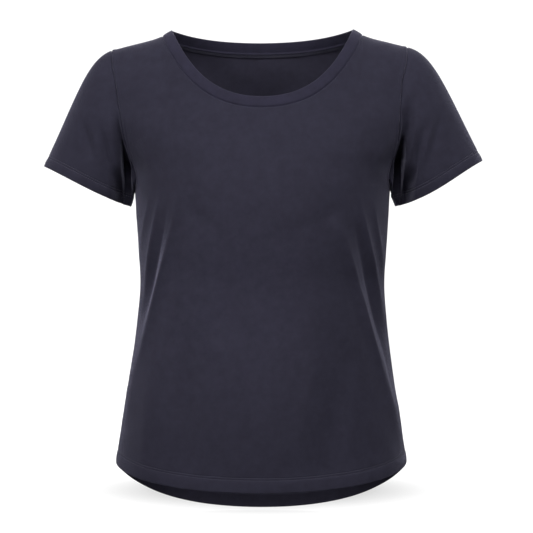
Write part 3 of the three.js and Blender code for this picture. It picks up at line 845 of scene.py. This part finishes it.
def closer_below(run):
    """A run of seam points with two more in each of its lowest steps, on one smooth curve."""
    rows = np.arange(len(run))
    at = np.concatenate([np.arange(0, UNDERARM_STEPS, 1 / 3), rows[UNDERARM_STEPS:]])
    return np.stack([curve_through(rows, values, at) for values in run.T], axis=-1)


def build_sleeve(name, seed):
    """A sleeve's grids of outer and inner points from the seam to the cuff, and its flat coordinates.
    Rows lie at set distances from the seam and from the cuff, and evenly between."""
    side = SLEEVES[name][0]
    edge = -1 if side > 0 else 0
    seam = join_runs(*[
        closer_below(np.column_stack([
            panels[half][key][panels[half]["underarm"] :, edge] for key in ("points", "normals", "relief")]))
        for half in ("front", "back")])
    start, seam_normals, seam_relief = seam[:, :3], unit(seam[:, 3:6]), seam[:, 6]
    share = np.linspace(0, 1, FINE_ROWS)[:, None, None]
    fine, degrees = sleeve_form(*SLEEVES[name], start, share)
    along = lengths_along(fine)
    total = along[-1]
    up_cuff = hem_places(HEM_THICKNESS, CUFF_DEPTH, CUFF_NEEDLES)[::-1]
    first, last = NEAR_SEAM[-1], total - up_cuff[0]
    between = first + (last - first) * np.linspace(0, 1, SLEEVE_ROWS + 2)[1:-1, None]
    place = np.concatenate([
        np.tile(NEAR_SEAM[:, None], (1, len(start))), between, total - up_cuff[:, None]])
    at = np.stack([np.interp(place[:, i], along[:, i], share.ravel()) for i in range(len(start))], axis=1)
    points, _ = sleeve_form(*SLEEVES[name], start, at[..., None])
    facing = np.sin(np.radians(degrees))
    x, y, z = np.moveaxis(points, -1, 0)
    front_tucks, back_tucks = TUCKS[name]
    drawn = tuck_share(front_tucks, x, z) * (facing > 0) + tuck_share(back_tucks, x, z) * (facing < 0)
    drawn *= smooth_step(np.abs(facing), *TUCKED_ROUND) * smooth_step(place, *TUCKED_BELOW_SEAM)
    plane = TUCKED_TO[name] * smooth_step(np.abs(facing), 0, PLANE_LEVEL_AT) + TUCK_CLEAR * np.sign(y)
    points[..., 1] += (plane - y) * drawn

    around = np.roll(points, -1, 1) - np.roll(points, 1, 1)
    normals = unit(np.cross(around, np.gradient(points, axis=0))) * -side
    turned = smooth_step(place, 0, SEAM_TURN)[..., None]
    normals = unit(seam_normals * (1 - turned) + normals * turned)

    front_folds, back_folds = SLEEVE_FOLDS[name]
    folds = fold_height(front_folds, x, z) * smooth_step(facing, 0, FOLDED_ROUND)
    folds += fold_height(back_folds, x, z) * smooth_step(-facing, 0, FOLDED_ROUND)
    folds += soft_ripples(x + points[..., 1], z, seed) * np.abs(facing)
    relief = folds * smooth_step(place, *FOLDED_BELOW_SEAM) + ditch(place)
    relief += (seam_relief + DITCH_DEPTH) * (1 - smooth_step(place, 0, SEAM_RELIEF_REACH))
    outer, inner = hemmed_faces(points, normals, relief, total - place, CUFF_DEPTH, CUFF_NEEDLES)
    circumference = lengths_along(close_round(points[-1]))[-1]
    flat_x = np.append(degrees, -180.0) / 360 * circumference
    flat = np.stack(np.broadcast_arrays(flat_x, -np.column_stack([place, place[:, 0]])), axis=-1)
    return {
        "points": points,
        "normals": normals,
        "outer": outer,
        "inner": inner,
        "flat": flat,
        "seam_normals": seam_normals,
        "body_side": -across_loop(start, seam_normals, side),
    }


# Laid flat, how far each sleeve shows round and along and its area, and the seed of its ripples.
SLEEVE_CUTS = {"sleeve_left": ((0.40, 0.185), 0.049, 13), "sleeve_right": ((0.40, 0.180), 0.045, 14)}
sleeves = {}
for name, (cut, cut_area, seed) in SLEEVE_CUTS.items():
    sleeve = build_sleeve(name, seed)
    sleeves[name] = sleeve
    piece = add_cloth(name + "_cloth", sleeve["outer"], sleeve["inner"], sleeve["flat"], jersey_face,
                      jersey_reverse, is_ring=True)
    pieces[name] = piece
    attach(piece, "root")
    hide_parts(name)

# ---- Hem and cuff stitches ----
# Coverstitched with spun polyester thread: two rows of needle thread outside, and between them inside
# a looper thread that covers the raw edge of the folded cloth.
STITCH_PITCH = 0.0028
STITCH_LENGTH = 0.0024
STITCH_STRAY = 0.0001
FIRST_STITCH = 0.0012
THREAD_RADIUS = 0.00021
THREAD_TWIST = 0.0005
# The thread is a lighter navy than the cloth: partly its own colour, partly a painted highlight, so that the
# lines of stitches show pale.
THREAD_SHADES_WITH_HIGHLIGHT = ("#3f3d50", "#56546a")


def at_places(line, places, values=None):
    """Points, or other values at its points, at these lengths along a line of straight steps."""
    values = line if values is None else values
    lengths = lengths_along(line)
    return np.stack([np.interp(places, lengths, values[:, k]) for k in range(3)], axis=-1)


def add_stitches(name, starts, ends, outwards, radius, material, holder):
    """One mesh of a spindle for each stitch: five rings of six sides, arched over the cloth between
    ends that dip into it."""
    along = unit(ends - starts)
    aside = unit(np.cross(along, outwards))
    upwards = np.cross(aside, along)
    share = np.array([0, 0.15, 0.5, 0.85, 1])[:, None]
    swell = np.array([0.4, 0.9, 1, 0.9, 0.4])[:, None, None]
    arch = np.array([-1.2, 0.2, 0.5, 0.2, -1.2])[:, None]
    turn = np.arange(6)[:, None] * np.pi / 3
    centres = starts[:, None] + (ends - starts)[:, None] * share + radius * arch * outwards[:, None]
    spokes = np.cos(turn) * aside[:, None] + np.sin(turn) * upwards[:, None]
    points = centres[:, :, None] + radius * swell * spokes[:, None]
    ids = np.arange(len(starts) * 30).reshape(-1, 5, 6)
    wrapped = np.concatenate([ids, ids[:, :, :1]], axis=2)
    sides = np.stack([
        wrapped[:, :-1, :-1], wrapped[:, :-1, 1:], wrapped[:, 1:, 1:], wrapped[:, 1:, :-1]], axis=-1)
    caps = [ids[:, 0, [0, 5, 4, 3]], ids[:, 0, [3, 2, 1, 0]], ids[:, 4, :4], ids[:, 4, [0, 3, 4, 5]]]
    faces = np.concatenate([sides.reshape(-1, 4), *caps])
    thread = add_mesh(name, points.reshape(-1, 3), faces)
    thread.data.materials.append(material)
    thread.parent = holder


def thread_material(name, shades):
    """Spun thread: a matt twist of fibres, in bands across the wave texture's direction."""
    material, tree, shader = start_material(
        name, {"Roughness": 0.7, "Specular IOR Level": 0.35, "Sheen Weight": 0.4})
    spot = add_node(tree, "TexCoord").outputs["Object"]
    twist = add_node(tree, "TexWave", {
        "Vector": spot, "Scale": 1 / THREAD_TWIST, "Distortion": 1.0}, bands_direction="DIAGONAL")
    shade = add_node(tree, "Mix", {
        "Factor": twist.outputs["Fac"], "A": linear(shades[0]), "B": linear(shades[1])}, data_type="RGBA")
    bump = add_node(tree, "Bump", {
        "Strength": 0.6, "Distance": THREAD_RADIUS / 3, "Height": twist.outputs["Fac"]})
    tree.links.new(shade.outputs["Result"], shader.inputs["Base Color"])
    tree.links.new(bump.outputs[0], shader.inputs["Normal"])
    return material


needle_thread = thread_material("spun polyester thread, needle", THREAD_SHADES_WITH_HIGHLIGHT)
looper_thread = thread_material("spun polyester thread, looper", THREAD_SHADES_WITH_HIGHLIGHT)


def add_zigzag(name, near, far, at, far_at, pitch, normals, radius, holder):
    """Looper thread from places on the near line to places on the far one, and back a pitch on."""
    starts, turns, ends = at_places(near, at), at_places(far, far_at), at_places(near, at + pitch)
    inwards = -unit(at_places(near, at, normals))
    add_stitches(name, np.concatenate([starts, turns]), np.concatenate([turns, ends]),
                 np.concatenate([inwards, inwards]), radius, looper_thread, holder)


def coverstitch(name, outer_rows, inner_rows, normals, holder, seed):
    """Two rows of stitches on the outer lines, and a zigzag of thread between the inner ones."""
    chance = np.random.default_rng(seed)
    starts, ends, outwards = [], [], []
    for row in outer_rows:
        at = np.arange(FIRST_STITCH, lengths_along(row)[-1] - STITCH_PITCH, STITCH_PITCH)
        at = at + chance.uniform(-STITCH_STRAY, STITCH_STRAY, len(at))
        starts.append(at_places(row, at))
        ends.append(at_places(row, at + STITCH_LENGTH))
        outwards.append(unit(at_places(row, at, normals)))
    add_stitches(name + "_needle_threads", np.concatenate(starts), np.concatenate(ends),
                 np.concatenate(outwards), THREAD_RADIUS, needle_thread, holder)
    near, far = inner_rows
    near_length, far_length = lengths_along(near)[-1], lengths_along(far)[-1]
    at = np.arange(FIRST_STITCH, near_length - STITCH_PITCH, STITCH_PITCH)
    add_zigzag(name + "_looper_thread", near, far, at, (at + STITCH_PITCH / 2) * far_length / near_length,
               STITCH_PITCH, normals, THREAD_RADIUS, holder)


hem_rows = [np.argmin(abs(hem_places(HEM_THICKNESS, HEM_DEPTH, HEM_NEEDLES) - line)) for line in HEM_NEEDLES]
for seed, (half, panel) in enumerate(panels.items(), 21):
    coverstitch(half + "_hem", panel["outer"][hem_rows], panel["inner"][hem_rows],
                panel["normals"][hem_rows[0]], pieces[half], seed)
up_cuff = hem_places(HEM_THICKNESS, CUFF_DEPTH, CUFF_NEEDLES)
cuff_rows = [-1 - np.argmin(abs(up_cuff - line)) for line in CUFF_NEEDLES]
for seed, (name, sleeve) in enumerate(sleeves.items(), 31):
    outer_rows, inner_rows, normals = (
        [close_round(sleeve[key][row]) for row in cuff_rows] for key in ("outer", "inner", "normals"))
    coverstitch(name + "_cuff", outer_rows, inner_rows, normals[0], pieces[name], seed)

# ---- Overlocked seams ----
# Inside, every seam's two raw edges are trimmed to 5.6 mm and overlocked together, then pressed flat:
# the neck's and armholes' to the body, the others' to the back.
ALLOWANCE_THICKNESS = 0.0010
ALLOWANCE_BEND = 0.06
ALLOWANCE_ROWS = np.array([0.0002, 0.0009, 0.0022, 0.0038, 0.0051, 0.0055, ALLOWANCE_WIDTH])
OVERLOCK_PITCH = 0.0025
OVERLOCK_SLANT = 0.0009
OVERLOCK_RADIUS = 0.00018
FIRST_OVERLOCK = 0.0005

# How many columns or rows from a seam give the direction that its allowance lies in.
UNDERARM_TOWARDS = 8
SIDE_TOWARDS = 12
SHOULDER_TOWARDS = 9


def add_allowance(name, line, outwards, across, holder, is_ring=False):
    """A flat strip under the cloth from the seam across, bending as the cloth does, and overlock
    threads that cross it at a slant from the needle line to the raw edges."""
    wide = ALLOWANCE_ROWS
    rounded = draw_in(ALLOWANCE_WIDTH - wide, ALLOWANCE_THICKNESS)
    drop = ditch(wide) - JERSEY_THICKNESS - wide**2 / (2 * ALLOWANCE_BEND)
    under = drop - ALLOWANCE_THICKNESS

    def strip(offset):
        return line + wide[:, None, None] * across + offset[:, None, None] * outwards

    flat = np.stack(np.meshgrid(lengths_along(close_round(line) if is_ring else line), wide), axis=-1)
    allowance = add_cloth(name + "_allowance", strip(drop - rounded), strip(under + rounded), flat,
                          jersey_reverse, jersey_reverse, is_ring)
    allowance.parent = holder

    near, far = strip(under)[[1, -1]]
    if is_ring:
        near, far, outwards = close_round(near), close_round(far), close_round(outwards)
    near_length, far_length = lengths_along(near)[-1], lengths_along(far)[-1]
    at = np.arange(FIRST_OVERLOCK, near_length - 2 * OVERLOCK_PITCH, OVERLOCK_PITCH)
    add_zigzag(name + "_overlock", near, far, at, at * far_length / near_length + OVERLOCK_SLANT,
               OVERLOCK_PITCH, outwards, OVERLOCK_RADIUS, holder)


def edge_of(cloth, line, towards):
    """A seam's points and normals in a piece of cloth, and unit directions to another of its lines."""
    points = cloth["points"][line]
    return points, cloth["normals"][line], unit(cloth["points"][towards] - points)


add_allowance("neck", neck_line, neck_normals, -neck_across, pieces["front"], is_ring=True)
for name, sleeve in sleeves.items():
    add_allowance(name + "_armhole", sleeve["points"][0], sleeve["seam_normals"], sleeve["body_side"],
                  pieces[name], is_ring=True)
    rows = slice(4, 4 + SLEEVE_ROWS)
    add_allowance(name + "_underarm", *edge_of(sleeve, (rows, 0), (rows, -UNDERARM_TOWARDS)), pieces[name])

# The side and shoulder allowances stop a few columns or rows short of hem, armhole and neck.
back = panels["back"]
sides = slice(hem_rows[-1] + 6, back["underarm"] - 2)
shoulders = (slice(3, back["neck"].start - 2), slice(back["neck"].stop + 1, -3))
for side, column, towards, shoulder in (
    ("right", 0, SIDE_TOWARDS, shoulders[0]), ("left", -1, -1 - SIDE_TOWARDS, shoulders[1]),
):
    add_allowance(side + "_side", *edge_of(back, (sides, column), (sides, towards)), pieces["back"])
    add_allowance(side + "_shoulder", *edge_of(back, (-1, shoulder), (-1 - SHOULDER_TOWARDS, shoulder)),
                  pieces["back"])

# ---- Floor, light and camera ----
# A matt opal table just under the tail, glowing white as if lit from below, with a painted shadow behind
# the shirt where its glow is turned down, and white paper behind. Softboxes stand high in front, at both
# sides, behind, and low at the waist, and a narrow strip lights the inside of the tail. The camera is
# level with the middle of the shirt.
FLOOR_LEVEL = -0.634
FLOOR_HALF_SIZE = 12
# A painted shadow on the table: the middle and half sizes of an ellipse behind the shirt, how far out the
# glow is lowest, how far out it is full again, and how low it falls.
PAINTED_SHADOW_PLACE = (0, 0.42, FLOOR_LEVEL)
PAINTED_SHADOW_HALF_SIZE = (0.215, 0.26, 1)
PAINTED_SHADOW_CORE, PAINTED_SHADOW_REACH, PAINTED_SHADOW_GLOW = 0.72, 1.4, 0.48
floor_mesh = bpy.data.meshes.new("floor")
floor_corners = [
    (x * FLOOR_HALF_SIZE, y * FLOOR_HALF_SIZE, FLOOR_LEVEL)
    for x, y in ((-1, -1), (1, -1), (1, 1), (-1, 1))]
floor_mesh.from_pydata(floor_corners, [], [(0, 1, 2, 3)])
floor = add_object("floor", floor_mesh)
floor.visible_diffuse = False
floor.visible_glossy = False
opal_table_with_painted_shadow, floor_tree, floor_shader = start_material("matt opal acrylic table, glowing, with a painted shadow", {
    "Base Color": linear("#7c7c7c"), "Roughness": 1.0, "Emission Color": linear("#ffffff")})
# The glow is turned down inside the ellipse, which paints the shadow behind the shirt.
in_painted_shadow = add_node(floor_tree, "Mapping", {
    "Vector": add_node(floor_tree, "TexCoord").outputs["Object"],
    "Location": PAINTED_SHADOW_PLACE, "Scale": PAINTED_SHADOW_HALF_SIZE}, vector_type="TEXTURE")
from_middle = add_node(floor_tree, "VectorMath", {0: in_painted_shadow.outputs[0]}, operation="LENGTH")
table_glow_with_painted_shadow = add_node(floor_tree, "MapRange", {
    "Value": from_middle.outputs["Value"], "From Min": PAINTED_SHADOW_CORE, "From Max": PAINTED_SHADOW_REACH,
    "To Min": PAINTED_SHADOW_GLOW, "To Max": 1.0})
floor_tree.links.new(table_glow_with_painted_shadow.outputs[0], floor_shader.inputs["Emission Strength"])
floor_mesh.materials.append(opal_table_with_painted_shadow)

# How bright the studio is behind and in front, and the paper as the camera sees it.
BACKDROP_LIGHT = 0.5
STUDIO_LIGHT = 0.08
PAPER_LIGHT = 1.1
world = bpy.data.worlds.new("studio")
world.use_nodes = True
bpy.context.scene.world = world
world_tree = world.node_tree
room = world_tree.nodes["Background"]
room.inputs["Color"].default_value = linear("#ffffff")
way = add_node(world_tree, "SeparateXYZ", {
    0: add_node(world_tree, "TexCoord").outputs["Generated"]})
behind = add_node(world_tree, "MapRange", {
    "Value": way.outputs[1], "From Min": -0.1, "From Max": 0.5, "To Min": STUDIO_LIGHT,
    "To Max": BACKDROP_LIGHT}, interpolation_type="SMOOTHSTEP")
above = add_node(world_tree, "MapRange", {
    "Value": way.outputs[2], "From Min": -0.6, "From Max": 0.0, "To Min": 0.3, "To Max": 1.0},
    interpolation_type="SMOOTHSTEP")
level = add_node(world_tree, "Math", {0: behind.outputs[0], 1: above.outputs[0]},
                 operation="MULTIPLY")
world_tree.links.new(level.outputs[0], room.inputs["Strength"])
paper = add_node(world_tree, "Background", {"Color": linear("#ffffff"), "Strength": PAPER_LIGHT})
seen = add_node(world_tree, "MixShader", {
    0: add_node(world_tree, "LightPath").outputs["Is Camera Ray"],
    1: room.outputs[0], 2: paper.outputs[0]})
world_tree.links.new(seen.outputs[0], world_tree.nodes["World Output"].inputs["Surface"])

LIGHTS = (
    # name, place, what it is turned to, width, height, spread of its beam in degrees, watts
    ("key_softbox", (-0.15, -1.6, 1.75), (0, 0, -0.3), 1.4, 1.4, 180, 44),
    ("right_softbox", (-2.3, -1.7, 0.7), (0, 0, -0.3), 1.2, 1.2, 180, 31),
    ("left_softbox", (2.3, -1.7, 0.7), (0, 0, -0.3), 1.2, 1.2, 180, 27),
    ("back_softbox", (0.3, 2.0, 1.4), (0, 0, -0.3), 1.6, 1.6, 180, 36),
    ("waist_softbox", (-0.4, -1.7, -0.6), (-0.02, 0, -0.32), 0.3, 0.2, 16, 0.09),
    ("low_strip", (0.0, -1.6, -0.6), (0, 0.1, -0.65), 0.5, 0.03, 8, 0.045),
)
for name, place, turned_to, width, height, spread, watts in LIGHTS:
    lamp = bpy.data.lights.new(name, "AREA")
    lamp.shape = "RECTANGLE"
    lamp.size, lamp.size_y = width, height
    lamp.spread = math.radians(spread)
    lamp.energy = watts
    holder = add_object(name, lamp)
    holder.location = place
    aim = unit(np.array(turned_to) - place)
    holder.rotation_euler = (math.acos(-aim[2]), 0, math.atan2(-aim[0], aim[1]))

CAMERA_PLACE = (0.0052, -3.0, -0.3055)
VIEW_WIDTH = 0.693
camera_data = bpy.data.cameras.new("camera")
camera_data.sensor_width = 36
camera_data.lens = camera_data.sensor_width * -CAMERA_PLACE[1] / VIEW_WIDTH
camera = add_object("camera", camera_data)
camera.location = CAMERA_PLACE
camera.rotation_euler = (math.pi / 2, 0, 0)
bpy.context.scene.camera = camera
bpy.context.scene.view_settings.view_transform = "Standard"
